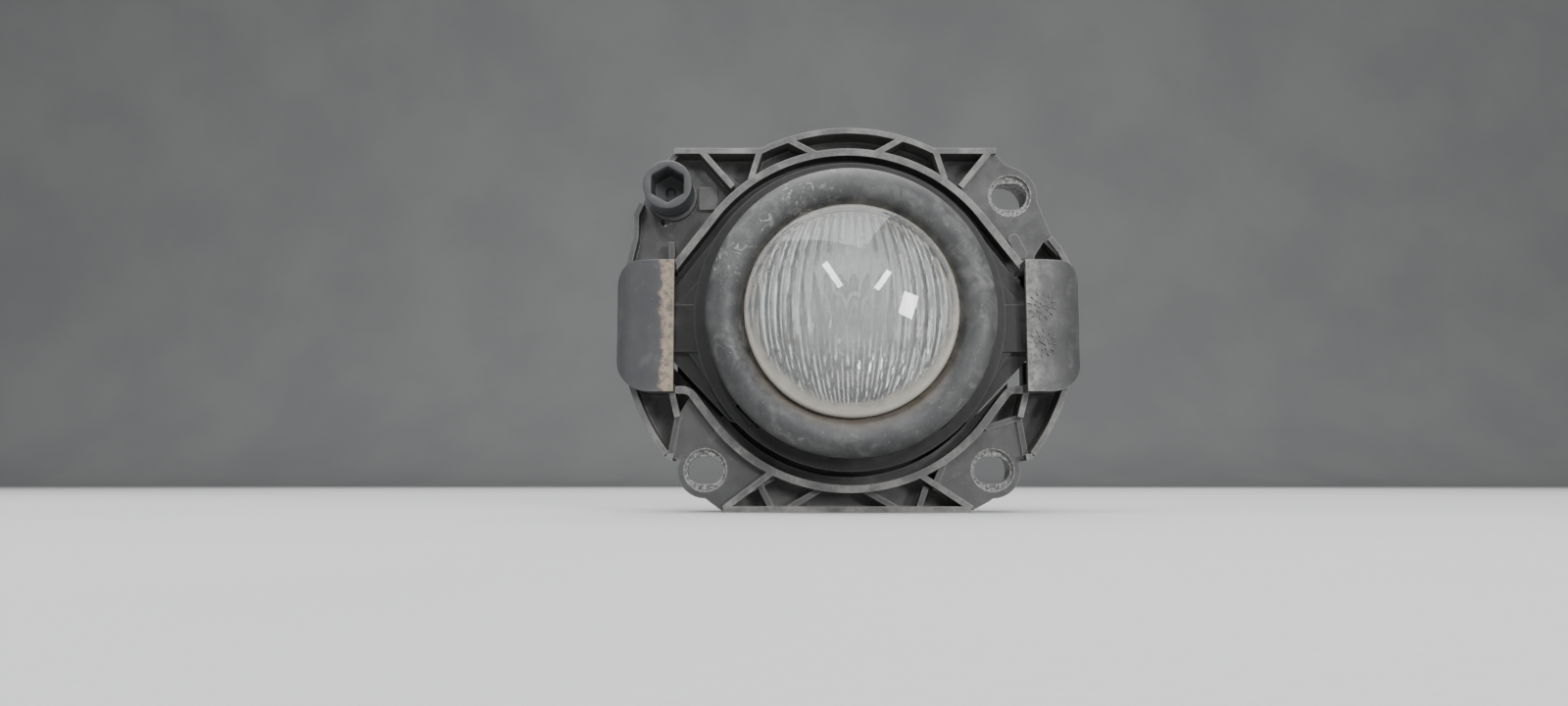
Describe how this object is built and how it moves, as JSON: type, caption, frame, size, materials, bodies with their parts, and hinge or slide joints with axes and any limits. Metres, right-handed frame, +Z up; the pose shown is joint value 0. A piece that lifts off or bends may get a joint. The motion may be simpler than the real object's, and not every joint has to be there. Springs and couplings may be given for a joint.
{
  "type": "fog light",
  "caption": "Round tilting fog lamp with a fluted lens and a deep bezel ring, in a ribbed bracket with pivot ears, screw slots and a hexagon-key adjuster.",
  "frame": {"origin": "on the beam axis, in the plane across the lamp that holds the tilt axis", "axes": "+X to the right seen from the front, along the tilt axis; -Y forward along the beam; +Z up"},
  "size_m": [0.0954, 0.0659, 0.0792],
  "materials": {
    "bracket_plastic": "weathered black moulded plastic, scuffed to grey along the edges",
    "housing_plastic": "dusty black moulded plastic",
    "bush_plastic": "off-white slippery plastic",
    "reflector_mirror": "vacuum metallised, slightly hazed",
    "lens_glass": "clear pressed glass with upright flutes",
    "sealant": "aged cream sealant",
    "bezel_plastic": "dark grey rubbery plastic with pale speckle and dust",
    "rubber": "black rubber",
    "adjuster_plastic": "bluish dark grey plastic",
    "steel": "zinc-plated steel",
    "bulb_glass": "clear quartz glass",
    "tungsten": "grey tungsten coil",
    "base_plastic": "black heat-resistant plastic",
    "seal_rubber": "red-brown silicone rubber",
    "terminal_metal": "tinned brass blade"
  },
  "bodies": {
    "bracket": {"bracket": "bracket_plastic", "pivot_bush_left": "bush_plastic", "pivot_bush_right": "bush_plastic"},
    "lamp": {"lamp_housing": "housing_plastic", "reflector": "reflector_mirror", "lens": "lens_glass", "lens_sealant": "sealant", "bezel_ring": "bezel_plastic", "breather_cap": "rubber"},
    "adjuster": {"adjuster_screw": "adjuster_plastic", "retaining_clip": "steel"},
    "nut": {"adjuster_nut": "bush_plastic"},
    "bulb": {"bulb_glass": "bulb_glass", "bulb_filament": "tungsten", "filament_supports": "steel", "bulb_collar": "steel", "bulb_base": "base_plastic", "bulb_seal": "seal_rubber", "terminal_left": "terminal_metal", "terminal_right": "terminal_metal"}
  },
  "joints": [
    {"name": "lamp_tilt", "type": "hinge", "parent": "bracket", "child": "lamp", "pos_m": [0, 0, -0.0018], "axis": [1, 0, 0], "range_deg": [-4, 4]},
    {"name": "adjuster_spin", "type": "hinge", "parent": "bracket", "child": "adjuster", "pos_m": [-0.0367, 0, 0.02635], "axis": [0, 1, 0], "range_deg": [-354, 354]},
    {"name": "nut_travel", "type": "slide", "parent": "bracket", "child": "nut", "axis": [0, -1, 0], "range_m": [-0.002, 0.002]},
    {"name": "bulb_twist", "type": "hinge", "parent": "lamp", "child": "bulb", "pos_m": [0, 0.02, 0], "axis": [0, 1, 0], "range_deg": [0, 45]}
  ],
  "couplings": [
    {"joint": "adjuster_spin", "follows": "lamp_tilt", "ratio": 88.436},
    {"joint": "nut_travel", "follows": "lamp_tilt", "m_per_rad": 0.02815}
  ]
}
